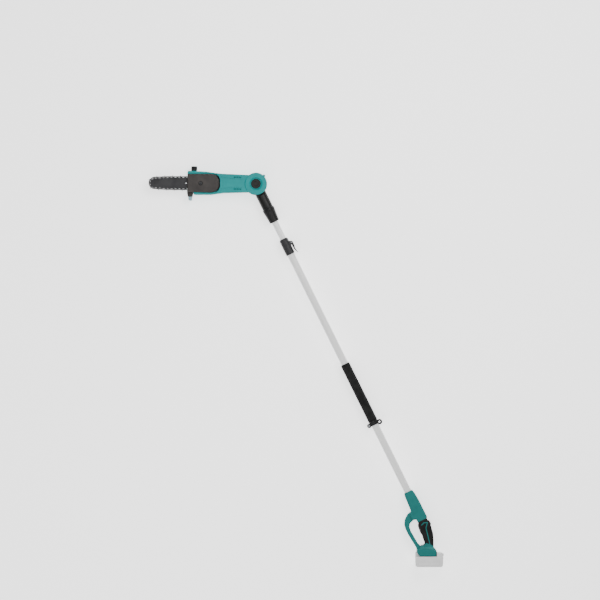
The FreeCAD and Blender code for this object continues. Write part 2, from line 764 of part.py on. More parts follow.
def sprocket_cover():
    low, high = bar_pad - 2.6, hub_face - 1
    body = slab(cover_points, low, high, 6, "top")
    room = slab([(nose_face + 5, -38.5), (nose_face + 5, 37), (214, 38.5, 10), (190, 33, 16), (180, 14, 16),
                 (180, -16, 16), (190, -34, 16), (214, -39.5, 10)], low - 1, high - 9)
    post = disc(12, bar_pad + bar_thickness, high - 5, 262, 0)
    body = fuse([body.cut(room), post])
    well = disc(10.5, bar_pad + bar_thickness + 9, 60, 262, 0)
    window = block(nose_face - 8, nose_face + 8, -37.5, 36, low - 1, high - 9)
    return cut(body, [disc(4.3, 0, 60, 262, 0), well, window])


def branch_hook():
    return slab([(hook_x - 14.1, 33.6), (hook_x + 16, 33.6), (hook_x + 15, 50, 4),
                 (hook_x + 11.5, 62.5, 2), (hook_x - 11, 62.5, 2), (hook_x - 13.5, 50, 3)], -12, 12, 1.5)


def hook_tip():
    return slab([(hook_x - 9.8, 62.6), (hook_x + 9.8, 62.6), (hook_x + 8.4, 79, 5), (hook_x + 2, 82.5, 5),
                 (hook_x - 6.0, 82.5, 5), (hook_x - 8.8, 79, 4)], -8, 8, 1.5)


# ---------------------------------------------------------------- oil

def oil_tank():
    tank = slab([(250, -48.5, 4), (nose_face - 7, -51.5, 4), (nose_face - 7, -23, 4), (250, -23, 4)],
                head_rear + wall + 1, 4, 2)
    inside = slab([(252, -46.5, 3), (nose_face - 9, -49.5, 3), (nose_face - 9, -25, 3), (252, -25, 3)],
                  head_rear + wall + 3, 2)
    mouth = Part.makeCylinder(7, 10, Vector(294, -44, -6), Vector(0, -1, 0))
    neck_in = Part.makeCylinder(5, 30, Vector(294, -40, -6), Vector(0, -1, 0))
    return cut(fuse([tank, mouth]), [inside, neck_in])


def oil_cap():
    """Ribbed cap with a plug that drops into the filler neck."""
    cap = turned([(0, 0), (0, 14.4), (19, 14.4), (21, 12.5), (21, 0)], "z")
    ribs = [moved(disc(1.2, -1, 18.5, 14.9, 0), turn=20 * k) for k in range(18)]
    plug = disc(7.5 - running, -6, 0.5)
    body = fuse([cap.cut(ribs), plug])
    body.rotate(Vector(0, 0, 0), Vector(1, 0, 0), 90)
    return moved(body, 294, -60.4, -6)


def oil_pump():
    """Pump beside the spindle, with its hose from the tank."""
    hose = Part.makeCylinder(2.5, 56, Vector(258, -22.6, -10), Vector(0, 1, 0))
    return fuse([block(250, 266, 22, 38, -16, -4), disc(4, -4, 2, 258, 30), hose])


# ---------------------------------------------------------------- handle

mouth_half = outer_tube_r + 3.0
body_points = [(4, mouth_half, 5), (-12, 23.8, 12), (-84, 28.6, 20), (-106, 44, 14), (-126, 40, 8), (-131, 23, 7),
               (-150, 22.6, 10), (-178, 26, 20), (-236, 35.6, 20), (-251.5, 36, 8), (-256.5, 54, 8), (-261, 84, 8),
               (-292, 86, 5), (-325, 19, 5), (-308, 2, 5), (-284, 7, 10), (-257, -6.5, 20), (-226, -19, 30),
               (-183, -27.6, 20), (-147, -24, 10), (-143, -29.1, 3), (-54, -28.7, 20), (-12, -25.6, 12),
               (4, -mouth_half, 5)]
loop_points = [(-86, 30, 3), (-91.8, 51.2, 15), (-108.4, 73.1, 20), (-128.6, 85.4, 20), (-152, 89.6, 20),
               (-180, 89.2, 20), (-211.5, 86.6, 30), (-246, 83.0, 20), (-273, 85.4, 3), (-268, 57, 3),
               (-253.5, 60.4, 10), (-234, 66.8, 20), (-169, 70.6, 20), (-147, 67.6, 14), (-134.3, 58, 12),
               (-128, 36, 3), (-110, 30, 3)]
grip_points = [(-146, -60), (-146, 22), (-148, 60), (-240, 60), (-256, 46), (-252, 30), (-268, 14), (-289, 0),
               (-289, -60)]
inlay_points = [(-165.6, 12.0), (-160.4, -1.5), (-166.8, -17.5), (-187.0, 0.0), (-225.0, 8.4), (-265.0, 17.5)]
inlay_width = 4.4


def handle_solid():
    body = slab(body_points, -body_half, body_half, 5)
    loop = slab(loop_points, -loop_half, loop_half, 4)
    foot = on_foot_local(slab([(58, -9, 6), (60.5, 7, 7), (44, 26.3, 5), (-33.5, 26.3, 5), (-33.9, 2, 6), (-20, -6, 8)],
                              -foot_half, foot_half, 4))
    return fuse([body, loop, foot, on_foot_local(foot_flare())])


def foot_flare():
    """Taper that widens the grip into the foot."""
    wires = []
    for b0, b1, d, half in ((-12, 38, -26, body_half - 3), (-32, 57, 6, foot_half - 1.5)):
        corners = [Vector(b, d, z) for b, z in ((b0, -half), (b1, -half), (b1, half), (b0, half))]
        wires.append(Part.makePolygon(corners + corners[:1]))
    return Part.makeLoft(wires, True, True)


def on_foot_local(shape):
    return moved(shape, foot_x, foot_y, 0, foot_angle)


def handle_hollow():
    face = outline(body_points).makeOffset2D(-wall)
    inside = slab(face, -body_half + wall, body_half - wall)
    inside = inside.common(block(-297, -70, -60, 120, -60, 60))
    loop = slab(outline(loop_points).makeOffset2D(-wall), -loop_half + wall, loop_half - wall)
    return fuse([inside, loop])


handle_bosses = [(-80.0, -20.0), (-80.0, 20.0), (-140.0, 12.0), (-205.0, -6.0), (-246.0, 24.0), (-160.0, 80.5),
                 (-262.0, 66.0)]


def rail_channel(extra, reach_out):
    """T-shaped rail section along the battery's slide."""
    wide = block(-40 - reach_out, 80, 8 - extra, 18.4 + extra, -24 - extra, 24 + extra)
    narrow = block(-40 - reach_out, 80, 17, 30, -20 - extra, 20 + extra)
    return fuse([wide, narrow])


def trigger_room():
    return slab([(-152.6, -3), (-152.6, 40), (-209, 45), (-209, 2)], -8.6, 8.6)


def handle_body():
    solid = cut(handle_solid(), [handle_hollow()])
    bosses = [disc(4.6, -body_half + 0.5, body_half - 0.5, x, y).common(handle_solid())
              for x, y in handle_bosses]
    seat = disc(5.0, -body_half + 0.5, body_half - 0.5, -204, 12)
    return fuse([solid] + bosses + [seat])


def handle_openings():
    tube = rod(outer_tube_r, -66, 10)
    lead = rod(8, -80, 0)
    channel = on_foot_local(rail_channel(gap, 10))
    terminals = on_foot_local(block(-26, 16, -4, 9, -16, 16))
    lock = block(-186, -158, -40, -10, -6.4, 6.4)
    return [tube, lead, channel, terminals, trigger_room(), lock, disc(2.0, -14, 14, -204, 12)]


def stroke(points, width, low, high):
    """Line of even width through the points, as a solid."""
    pieces = [disc(width / 2, low, high, x, y) for x, y in points]
    for (xa, ya), (xb, yb) in zip(points, points[1:]):
        bar = block(0, math.dist((xa, ya), (xb, yb)), -width / 2, width / 2, low, high)
        pieces.append(moved(bar, xa, ya, 0, math.degrees(math.atan2(yb - ya, xb - xa))))
    return fuse(pieces)


def soft_grip(solid):
    """Rubber layer over the main grip, its inlay left as housing."""
    region = slab(grip_points, -40, 40).cut(stroke(inlay_points, inlay_width, -60, 60))
    core = slab(outline(body_points).makeOffset2D(-2.0), -body_half + 2, body_half - 2)
    return solid.common(region).cut([core, on_foot_local(block(-60, 80, 4.5, 60, -60, 60)), ])


def upper(shape):
    return shape.common(block(-500, 100, -100, 200, 0, 80))


def lower(shape):
    return shape.common(block(-500, 100, -100, 200, -80, 0))


def handle_screw_places():
    """Boss centre, the head's depth below the axis and the screw's length."""
    places = []
    for x, y in handle_bosses:
        thin = y > 60
        places.append((x, y, (loop_half if thin else body_half) - 3.5, 20.0 if thin else 26.0))
    return places


def handle_screws():
    screws = []
    for x, y, top, length in handle_screw_places():
        screw = pan_screw(length, 1.7, 3.2)
        screw.rotate(Vector(0, 0, 0), Vector(1, 0, 0), 180)
        screws.append(moved(screw, x, y, -top))
    return Part.makeCompound(screws)


def screw_wells():
    wells = []
    for x, y, top, length in handle_screw_places():
        wells += [disc(3.2, -top - 20, -top, x, y), disc(1.7, -top - 1, length - top, x, y)]
    return wells


def trigger():
    body = slab([(-154, 11, 3), (-154.6, 26, 5), (-166, 30.6, 8), (-188, 33, 12), (-204, 33.6, 5),
                 (-208, 28, 4), (-208, 8.4, 3), (-198, 8.4, 3)], -8, 8, 2)
    return body.cut([disc(2.0 + running, -20, 20, -204, 12), disc(3.4, -20, 20, -164, 8)])


def trigger_pin():
    return disc(2.0, -12, 12, -204, 12)


def trigger_spring():
    spring = coil(2.4, 7.2, 2.6, 0.6)
    spring.rotate(Vector(0, 0, 0), Vector(1, 0, 0), -90)
    return moved(spring, -190, 0.9, 0)


def switch_box():
    return fuse([block(-200, -176, -11.5, -0.4, -9, 9), disc(1.5, 9, 11, -182, -6), disc(1.5, 9, 11, -192, -6)])


def lock_off():
    """Side button that frees the trigger."""
    cap = slab([(-185.6, -19, 1), (-183, -31.5, 3), (-161, -30.2, 3), (-158.4, -19, 1)], -6, 6, 1)
    flange = block(-185.6, -158.4, -19.4, -17.4, -6, 6)
    return fuse([cap, flange])


def control_board():
    board = block(-252, -216, -4, 24, -1, 0.6)
    chips = [block(-246, -240, 0, 6, 0.6, 3), block(-236, -226, 8, 18, 0.6, 4), disc(4, 0.6, 9, -221, 3)]
    return cut(fuse([board] + chips), [disc(4.9, -10, 20, -246, 24)])


def terminal_block():
    base = block(-25, 15, -3.5, 4.8, -15.5, 15.5)
    blades = [block(-20, 4, 4.5, 14.5, z - 0.4, z + 0.4) for z in (-10, 0, 10)]
    return fuse([base] + blades)


# ---------------------------------------------------------------- battery

battery_back = 67.0
battery_front = -67.0
battery_low = 76.5


def battery_solid():
    case = slab([(battery_front + 1, 26.9, 3), (battery_back, 26.9, 3), (battery_back - 2, battery_low, 9),
                 (battery_front + 4, battery_low, 9)], -battery_half, battery_half, 5)
    tower = fuse([block(-34.5, battery_back - 1, 8, 18.4, -24, 24), block(-34.5, battery_back - 1, 18, 30, -20, 20)])
    raised = slab([(battery_front + 4, 10, 6), (-34.8, 8, 2), (-34.8, 34), (battery_front + 1, 34)],
                  -battery_half + 1.5, battery_half - 1.5, 3)
    return fuse([case, tower, raised])


def battery_hollow():
    room = slab([(battery_front + 5, 30, 3), (battery_back - 4, 30, 3), (battery_back - 5, battery_low - 4, 6),
                 (battery_front + 8, battery_low - 4, 6)], -battery_half + 3, battery_half - 3)
    slots = [block(-22, battery_back + 1, 5, 16, z - 1.2, z + 1.2) for z in (-10, 0, 10)]
    latch = block(battery_front - 5, -50, 13.6, 25.4, -12.4, 12.4)
    return [room, latch] + slots


def battery_case():
    return battery_solid().cut(battery_hollow())


def battery_case_top(case):
    return case.common(block(-100, 100, 0, 52, -60, 60))


def battery_case_bottom(case):
    return case.common(block(-100, 100, 52, 90, -60, 60))


def battery_panels():
    """Two raised panels low on each face."""
    panels = []
    for low, high in ((battery_half, battery_half + 0.5), ):
        for x0, x1 in ((-46, -6), (4, 50)):
            panels.append(slab([(x0, 54, 2), (x1, 54, 2), (x1, 68, 2), (x0, 68, 2)], low, high))
    return Part.makeCompound(panels)


def battery_cells():
    cells = []
    for y in (40.5, 61.0):
        for k in range(5):
            x = -45 + 22.5 * k
            cells.append(fuse([disc(9.2, -32, 32, x, y), disc(3, 31, 33.2, x, y)]))
    return Part.makeCompound(cells)


def battery_latch():
    key = slab([(battery_front - 1.5, 14, 1), (battery_front - 1.5, 25, 1), (-57, 25, 1), (-57, 14, 1)], -12, 12, 1)
    return key


# ---------------------------------------------------------------- assembly

def build():
    nodes = {}
    nodes["outer_tube"] = outer_tube()
    nodes["foam_grip"] = foam_grip()
    nodes["strap_collar"] = strap_collar()
    nodes["strap_bolt"] = strap_bolt()
    nodes["clamp_collar"] = clamp_collar()
    nodes["clamp_shoe"] = clamp_shoe()
    nodes["clamp_pin"] = clamp_pin()
    nodes["clamp_lever"] = clamp_lever()
    nodes["power_cord"] = power_cord()

    nodes["inner_tube"] = inner_tube()
    nodes["guide_bush"] = guide_bush()
    nodes["neck"] = neck()
    nodes["coupling_sleeve"] = coupling_sleeve()

    head = head_body()
    head_parts = {
        "head_shell_front": head_shell_front(head), "head_shell_rear": head_shell_rear(head),
        "head_screws": head_screws(), "hub_tab": hub_tab(), "tilt_button": tilt_button(),
        "button_spring": button_spring(), "motor_can": motor_can(), "motor_rotor": motor_rotor(),
        "bearings": bearings(), "pinion": pinion(), "drive_gear": drive_gear(),
        "output_spindle": output_spindle(), "gearcase": gearcase(), 
        "drive_sprocket": drive_sprocket(), "spindle_clip": spindle_clip(), "guide_bar": guide_bar(),
        "nose_rivet": nose_rivet(), "nose_sprocket": nose_sprocket(), "chain_drive_links": chain_drive_links(),
        "chain_cutters": side_links("cutter"), "chain_tie_straps": side_links("strap"), "bar_stud": bar_stud(),
        "bar_nut": bar_nut(), "chain_tensioner": chain_tensioner(), "sprocket_cover": sprocket_cover(),
        "branch_hook": branch_hook(), "hook_tip": hook_tip(), "oil_tank": oil_tank(), "oil_cap": oil_cap(),
        "oil_pump": oil_pump()}
    for name, shape in head_parts.items():
        nodes[name] = on_head(shape)

    solid = handle_solid()
    grip = soft_grip(solid)
    shell = cut(handle_body(), [grip])
    openings = handle_openings() + screw_wells()
    shell, grip = cut(shell, openings), cut(grip, openings)
    handle_parts = {
        "handle_shell_front": upper(shell), "handle_shell_rear": lower(shell), "grip_pad_front": upper(grip),
        "grip_pad_rear": lower(grip), "handle_screws": handle_screws(), "trigger": trigger(),
        "trigger_pin": trigger_pin(), "trigger_spring": trigger_spring(), "switch_box": switch_box(),
        "lock_off": lock_off(), "control_board": control_board(),
        "terminal_block": on_foot_local(terminal_block())}
    for name, shape in handle_parts.items():
        nodes[name] = on_handle(shape)

    case = battery_case()
    battery_parts = {
        "battery_case_top": battery_case_top(case), "battery_case_bottom": battery_case_bottom(case),
        "battery_panels": battery_panels(), "battery_cells": battery_cells(), "battery_latch": battery_latch()}
    for name, shape in battery_parts.items():
        nodes[name] = on_foot(shape)
    return nodes


nodes = build()
whole = Part.makeCompound(list(nodes.values())).BoundBox
shift = Vector(-(whole.XMin + whole.XMax) / 2, -(whole.YMin + whole.YMax) / 2, -whole.ZMin)
for name, shape in nodes.items():
    placed = shape.copy()
    placed.translate(shift)
    placed.exportStep(f"parts/{name}.step")
print("hub centre at", [round(v, 3) for v in (shift.x, shift.y, shift.z)], "nose", round(nose_x, 2))
print(len(nodes), "nodes, size", [round(v, 1) for v in (whole.XLength, whole.YLength, whole.ZLength)])
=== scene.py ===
import math

import bmesh
import bpy
from mathutils import Euler, Matrix, Vector


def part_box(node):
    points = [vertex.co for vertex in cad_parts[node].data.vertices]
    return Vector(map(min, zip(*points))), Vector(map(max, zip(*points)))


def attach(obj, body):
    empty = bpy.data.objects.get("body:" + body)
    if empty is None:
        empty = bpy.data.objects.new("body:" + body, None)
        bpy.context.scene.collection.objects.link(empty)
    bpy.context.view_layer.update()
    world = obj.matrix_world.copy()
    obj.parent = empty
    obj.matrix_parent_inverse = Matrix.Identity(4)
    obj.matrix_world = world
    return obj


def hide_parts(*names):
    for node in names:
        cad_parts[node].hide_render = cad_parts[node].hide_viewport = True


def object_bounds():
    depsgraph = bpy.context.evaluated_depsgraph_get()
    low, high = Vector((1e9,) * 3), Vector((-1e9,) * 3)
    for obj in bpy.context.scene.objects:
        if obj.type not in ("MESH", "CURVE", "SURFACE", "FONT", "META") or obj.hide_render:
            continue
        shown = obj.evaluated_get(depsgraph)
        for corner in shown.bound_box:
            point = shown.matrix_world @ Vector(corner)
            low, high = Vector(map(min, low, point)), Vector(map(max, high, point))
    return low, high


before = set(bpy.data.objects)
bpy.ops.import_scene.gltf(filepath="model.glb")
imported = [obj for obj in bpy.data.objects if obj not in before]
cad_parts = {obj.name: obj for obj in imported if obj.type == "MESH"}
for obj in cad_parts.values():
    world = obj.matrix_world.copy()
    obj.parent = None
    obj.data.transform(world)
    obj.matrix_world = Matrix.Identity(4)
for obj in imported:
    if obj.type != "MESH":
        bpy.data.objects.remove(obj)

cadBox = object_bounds()

mm = 0.001
headAngle = math.radians(63.2)  # bar's direction from the pole's


def middleOf(node):
    low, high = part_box(node)
    return (Vector(low) + Vector(high)) / 2


hub = middleOf("tilt_button")
hub.z = middleOf("outer_tube").z
poleAxis = middleOf("outer_tube")
toHead = Matrix.Translation(hub) @ Matrix.Rotation(headAngle, 4, "Z")


def linear(code):
    channels = [int(code[k:k + 2], 16) / 255 for k in (0, 2, 4)]
    return tuple(c / 12.92 if c <= 0.04045 else ((c + 0.055) / 1.055) ** 2.4 for c in channels) + (1.0,)


def addNode(tree, kind, values=None, **settings):
    node = tree.nodes.new(kind)
    for key, value in settings.items():
        setattr(node, key, value)
    for key, value in (values or {}).items():
        if isinstance(value, bpy.types.NodeSocket):
            tree.links.new(value, node.inputs[key])
        else:
            node.inputs[key].default_value = value
    return node


def noise(tree, coords, size, detail=3.0):
    return addNode(tree, "ShaderNodeTexNoise", {"Vector": coords, "Scale": 1 / (size * mm), "Detail": detail})


def spread(tree, source, low, high, fromLow=0.3, fromHigh=0.7):
    return addNode(tree, "ShaderNodeMapRange", {"Value": source, "From Min": fromLow, "From Max": fromHigh,
                                                "To Min": low, "To Max": high}).outputs["Result"]


def blendColour(tree, factor, first, second, mode="MIX"):
    node = addNode(tree, "ShaderNodeMix", {"Factor": factor}, data_type="RGBA", blend_type=mode)
    for socket, value in ((node.inputs[6], first), (node.inputs[7], second)):
        if isinstance(value, bpy.types.NodeSocket):
            tree.links.new(value, socket)
        else:
            socket.default_value = value
    return node.outputs[2]


def surface(name, code, dark, rough, metal=0.0, grain=0.5, depth=0.02, broad=40.0, stretch=(1, 1, 1),
            wear="", wearSize=0.5, coat=0.0, pattern=None, turn=0.0, shine=0.22):
    material = bpy.data.materials.new(name)
    material.use_nodes = True
    tree = material.node_tree
    shader = tree.nodes["Principled BSDF"]
    place = addNode(tree, "ShaderNodeTexCoord").outputs["Object"]
    turned = addNode(tree, "ShaderNodeMapping", {"Vector": place, "Rotation": (0, 0, -turn),
                                                 "Scale": stretch}).outputs["Vector"]
    # painted shade: an ambient occlusion node darkens the base colour in creases, gaps, vents and grooves of
    # every surface
    creaseShadeReach = 6 * mm
    creaseShade = addNode(tree, "ShaderNodeAmbientOcclusion", {"Distance": creaseShadeReach}, samples=6).outputs["AO"]
    large = noise(tree, place, broad).outputs["Fac"]
    small = noise(tree, turned, grain, 4.0).outputs["Fac"]
    colour = blendColour(tree, spread(tree, large, 0, 1), linear(code), linear(dark))
    colour = blendColour(tree, spread(tree, small, 0, 0.35), colour, linear(dark))
    soft = addNode(tree, "ShaderNodeBevel", {"Radius": wearSize * mm}, samples=4).outputs["Normal"]
    if wear:
        flat = addNode(tree, "ShaderNodeNewGeometry").outputs["Normal"]
        match = addNode(tree, "ShaderNodeVectorMath", {0: soft, 1: flat},
                        operation="DOT_PRODUCT").outputs["Value"]
        edge = addNode(tree, "ShaderNodeMapRange", {"Value": match, "From Min": 0.99, "From Max": 0.86,
                                                    "To Min": 0.0, "To Max": 0.6}).outputs["Result"]
        colour = blendColour(tree, edge, colour, linear(wear))
    # the painted shade is multiplied into the base colour
    shade = blendColour(tree, spread(tree, creaseShade, 0.3, 1.0, 0.15, 0.85), (0, 0, 0, 1), (1, 1, 1, 1))
    colour = blendColour(tree, 1.0, colour, shade, "MULTIPLY")
    height = small
    if pattern:
        height = addNode(tree, "ShaderNodeMath", {0: small, 1: pattern(tree, turned)},
                         operation="ADD").outputs[0]
    bump = addNode(tree, "ShaderNodeBump", {"Height": height, "Strength": 0.6, "Distance": depth * mm,
                                            "Normal": soft}).outputs["Normal"]
    tree.links.new(colour, shader.inputs["Base Color"])
    tree.links.new(spread(tree, large, rough - 0.06, rough + 0.06), shader.inputs["Roughness"])
    tree.links.new(bump, shader.inputs["Normal"])
    shader.inputs["Metallic"].default_value = metal
    shader.inputs["Specular IOR Level"].default_value = shine
    shader.inputs["Coat Weight"].default_value = coat
    shader.inputs["Coat Roughness"].default_value = 0.12
    return material


def cells(size):
    def build(tree, coords):
        return addNode(tree, "ShaderNodeTexVoronoi", {"Vector": coords, "Scale": 1 / (size * mm)},
                       feature="SMOOTH_F1").outputs["Distance"]
    return build


materials = {
    "tealHead": surface("Teal_ABS_moulding", "009191", "008888", 0.42,  # satin ABS housing
                        grain=0.35, depth=0.02, wear="3CC4C2", wearSize=1.0),
    "tealHandle": surface("Deep_teal_ABS_moulding", "007370", "006A67", 0.46,  # handle housing
                          grain=0.35, depth=0.02, wear="1F9692", wearSize=1.0),
    "coverGrey": surface("Charcoal_nylon_texture", "45413F", "393635", 0.62,  # glass-filled nylon cover
                         grain=0.6, depth=0.06, wear="6A6664", wearSize=0.8),
    "black": surface("Black_nylon_moulding", "191919", "121213", 0.4,  # neck, coupling, collar
                     grain=0.45, depth=0.03, wear="4A4A4C", wearSize=0.8),
    "clampGrey": surface("Dark_grey_acetal", "333335", "2A2A2C", 0.45,  # clamp body
                         grain=0.5, depth=0.03, wear="6C6C70", wearSize=0.8),
    "rubber": surface("Soft_grip_rubber", "191919", "101010", 0.68,  # thermoplastic rubber
                      grain=0.3, depth=0.05, wear="3A3A3A", wearSize=0.8, pattern=cells(1.6)),
    "foam": surface("Closed_cell_foam", "232323", "151515", 0.9,  # NBR foam sleeve
                    grain=0.9, depth=0.35, broad=25.0, pattern=cells(1.1)),
    "white": surface("White_epoxy_coat", "FFFFFF", "FAFAFA", 0.22,  # coated aluminium, inner tube
                     grain=1.2, depth=0.008, broad=120.0, coat=0.5),
    "pale": surface("Pale_grey_epoxy_coat", "F6F6F5", "EEEEED", 0.26,  # coated aluminium, outer tube
                    grain=1.2, depth=0.008, broad=120.0, coat=0.4),
    "barSteel": surface("Blacked_bar_steel", "3A3A3B", "2E2E30", 0.42,  # painted carbon steel
                        metal=0.55, grain=0.7, depth=0.03, stretch=(0.12, 1, 1), wear="6A6A6C",
                        wearSize=0.4, turn=headAngle),
    "chainSteel": surface("Phosphated_chain_steel", "333333", "222223", 0.5,  # oiled chain
                          metal=0.35, grain=0.25, depth=0.02, wear="6A6A68", wearSize=0.25),
    "chrome": surface("Chromed_cutter_top", "5A5B5C", "3C3D3F", 0.4,  # hard chrome on the cutters
                      metal=0.7, grain=0.2, depth=0.01, wear="8A8A8A", wearSize=0.2),
    "steel": surface("Zinc_plated_steel", "A9ABAD", "8C8E91", 0.32,  # screws, pins
                     metal=1.0, grain=0.3, depth=0.01, broad=8.0, wear="DADADA", wearSize=0.3),
    "button": surface("Black_acetal_button", "191B19", "121412", 0.35,  # hub lock button
                      grain=0.4, depth=0.02, wear="4C4E4C", wearSize=0.8),
    "tip": surface("Pale_blue_acetal", "9BC0C8", "8AB0BA", 0.3,  # hook's tip
                   grain=0.5, depth=0.02, wear="D2E6EA", wearSize=0.8, coat=0.3),
    "battery": surface("Pale_grey_ABS", "F0F0F0", "E8E8E8", 0.5,  # pack housing
                       grain=0.4, depth=0.03, wear="D6D6D6", wearSize=1.0),
    "panel": surface("Light_grey_ABS", "F4F4F4", "ECECEC", 0.4,  # inset panels
                     grain=0.4, depth=0.02, wear="E4E4E4", wearSize=0.5),
    "tank": surface("Natural_polythene", "D8D5C6", "CBC8B8", 0.4,  # oil tank
                    grain=0.8, depth=0.02),
    "board": surface("Green_solder_mask", "1D5B36", "15472A", 0.35,  # control board
                     grain=0.3, depth=0.01),
    "wrap": surface("Cell_wrap_film", "5A7F9C", "4E7290", 0.3,  # battery cells
                    grain=0.6, depth=0.01),
    "copper": surface("Tinned_copper", "B9A58C", "9A8468", 0.3,  # terminals
                      metal=1.0, grain=0.3, depth=0.01),
    "rivet": surface("Polished_chain_rivet", "7A7978", "5A5958", 0.4,  # peened rivet heads
                     metal=0.7, grain=0.15, depth=0.005, broad=3.0),
    "recess": surface("Painted_shade_screw_recess", "161617", "0E0E0F", 0.6,  # painted shade: a flat near-black star sheet stands in for the shade in the drive recess
                      metal=0.5, grain=0.2, depth=0.005, broad=3.0),
    "dark": surface("Sintered_dark_steel", "4A4A4C", "3A3A3D", 0.45,  # gears, rotor
                    metal=0.9, grain=0.3, depth=0.02),
}

groups = {
    "tealHead": ["head_shell_front", "head_shell_rear", "hub_tab"],
    "tealHandle": ["handle_shell_front", "handle_shell_rear"],
    "coverGrey": ["sprocket_cover", "branch_hook"],
    "black": ["neck", "coupling_sleeve", "strap_collar", "clamp_lever", "clamp_shoe", "guide_bush", "oil_cap",
              "oil_pump", "gearcase", "trigger", "lock_off", "switch_box", "power_cord"],
    "clampGrey": ["clamp_collar"],
    "rubber": ["grip_pad_front", "grip_pad_rear"],
    "foam": ["foam_grip"], "white": ["inner_tube"], "pale": ["outer_tube"], "barSteel": ["guide_bar"],
    "chainSteel": ["chain_drive_links", "chain_tie_straps", "nose_rivet", "bar_stud"],
    "chrome": ["chain_cutters"],
    "steel": ["strap_bolt", "clamp_pin", "head_screws", "handle_screws", "bearings", "output_spindle",
              "spindle_clip", "nose_sprocket", "chain_tensioner", "button_spring", "trigger_spring",
              "trigger_pin"],
    "button": ["tilt_button"], "tip": ["hook_tip"], "battery": ["battery_case_top", "battery_case_bottom"],
    "panel": ["battery_panels", "battery_latch"], "tank": ["oil_tank"], "board": ["control_board"],
    "wrap": ["battery_cells"], "copper": ["terminal_block"],
    "dark": ["motor_can", "motor_rotor", "pinion", "drive_gear", "drive_sprocket", "bar_nut"],
}
for key, nodes in groups.items():
    for node in nodes:
        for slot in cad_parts[node].material_slots:
            slot.material = materials[key]
print("materials done")


def meshFrom(name, bm):
    bmesh.ops.recalc_face_normals(bm, faces=bm.faces)
    mesh = bpy.data.meshes.new(name)
    bm.to_mesh(mesh)
    bm.free()
    return mesh


def newObject(name, shape, material, body, nodes=(), smooth=35.0):
    mesh = meshFrom(name, shape) if isinstance(shape, bmesh.types.BMesh) else shape
    piece = bpy.data.objects.new(name, mesh)
    bpy.context.scene.collection.objects.link(piece)
    mesh.materials.clear()
    mesh.materials.append(materials[material])
    mesh.shade_smooth()
    mesh.set_sharp_from_angle(angle=math.radians(smooth))
    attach(piece, body)
    if nodes:
        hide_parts(*nodes)
    return piece


def lathe(profile, place, steps=96, shape=None):
    bm = bmesh.new()
    rings = []
    for step in range(steps):
        angle = 2 * math.pi * step / steps
        ring = []
        for index, (along, radius) in enumerate(profile):
            r = radius + (shape(along, angle, index) if shape else 0.0)
            spot = Vector((along * mm, r * math.cos(angle) * mm, r * math.sin(angle) * mm))
            ring.append(bm.verts.new(place @ spot))
        rings.append(ring)
    for step in range(steps):
        one, two = rings[step], rings[(step + 1) % steps]
        for k in range(len(profile)):
            j = (k + 1) % len(profile)
            bm.faces.new((one[k], one[j], two[j], two[k]))
    return bm


def rounded(profile, radius=1.0, steps=4):
    result = []
    count = len(profile)
    for k in range(count):
        here, back, ahead = (Vector(profile[j % count]) for j in (k, k - 1, k + 1))
        reach = min(radius, (back - here).length * 0.45, (ahead - here).length * 0.45)
        start, end = here + (back - here).normalized() * reach, here + (ahead - here).normalized() * reach
        for step in range(steps + 1):
            t = step / steps
            result.append(tuple(start * (1 - t) ** 2 + here * 2 * t * (1 - t) + end * t ** 2))
    return result


def alongPole(node):
    low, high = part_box(node)
    return (low[0] - poleAxis.x) / mm, (high[0] - poleAxis.x) / mm


onPole = Matrix.Translation(poleAxis)

tube = {"outer": 17.5, "outerWall": 1.3, "inner": 15.0, "innerWall": 1.4, "edge": 0.5}


def tubeShape(node, r, wall):
    start, end = alongPole(node)
    return lathe(rounded([(start, r), (end, r), (end, r - wall), (start, r - wall)], tube["edge"]), onPole)


newObject("OuterTube", tubeShape("outer_tube", tube["outer"], tube["outerWall"]), "pale", "handle_pole",
          ["outer_tube"])
newObject("InnerTube", tubeShape("inner_tube", tube["inner"], tube["innerWall"]), "white", "upper_pole",
          ["inner_tube"])

foam = {"r": 22.0, "bore": 17.55, "lip": 3.5, "ripple": 0.12, "rings": 120, "shoulder": 2.2, "crown": 0.6,
        "slope": 1.6, "soft": 0.8, "wave": 0.31, "swirl": 0.05}


def foamProfile():
    start, end = alongPole("foam_grip")
    low, high = foam["r"] - foam["shoulder"], foam["r"] - foam["crown"]
    first = rounded([(start, foam["bore"]), (start, low), (start + foam["slope"], high)], foam["soft"])[5:]
    length = end - start - 2 * foam["lip"]
    steps = [(start + foam["lip"] + length * k / foam["rings"], foam["r"]) for k in range(foam["rings"] + 1)]
    return first + steps + [(end - foam["slope"], high), (end, low), (end, foam["bore"])]


profile = foamProfile()


def foamSkin(along, angle, index):
    if index < 8 or index > len(profile) - 5:  # the ends and the bore stay smooth
        return 0.0
    swirl = 2 * math.sin(angle * 3 + along * foam["swirl"])
    return -foam["ripple"] * (0.5 + 0.5 * math.sin(along * foam["wave"] + swirl))


foamGrip = newObject("FoamGrip", lathe(profile, onPole, 96, foamSkin), "foam", "handle_pole", ["foam_grip"])
print("tubes done")


def plate(points, low, high, edge=0.2):
    bm = bmesh.new()
    face = bm.faces.new([bm.verts.new((x * mm, y * mm, low * mm)) for x, y in points])
    lifted = bmesh.ops.extrude_face_region(bm, geom=[face])["geom"]
    bmesh.ops.translate(bm, verts=[v for v in lifted if isinstance(v, bmesh.types.BMVert)],
                        vec=(0, 0, (high - low) * mm))
    rims = [e for e in bm.edges if e.verts[0].co.z == e.verts[1].co.z]
    bmesh.ops.bevel(bm, geom=rims, offset=edge * mm, segments=2, profile=0.5, affect="EDGES")
    return bm


def joined(*shapes):
    bm = bmesh.new()
    for shape in shapes:
        part = meshFrom("part", shape)
        bm.from_mesh(part)
        bpy.data.meshes.remove(part)
    return bm


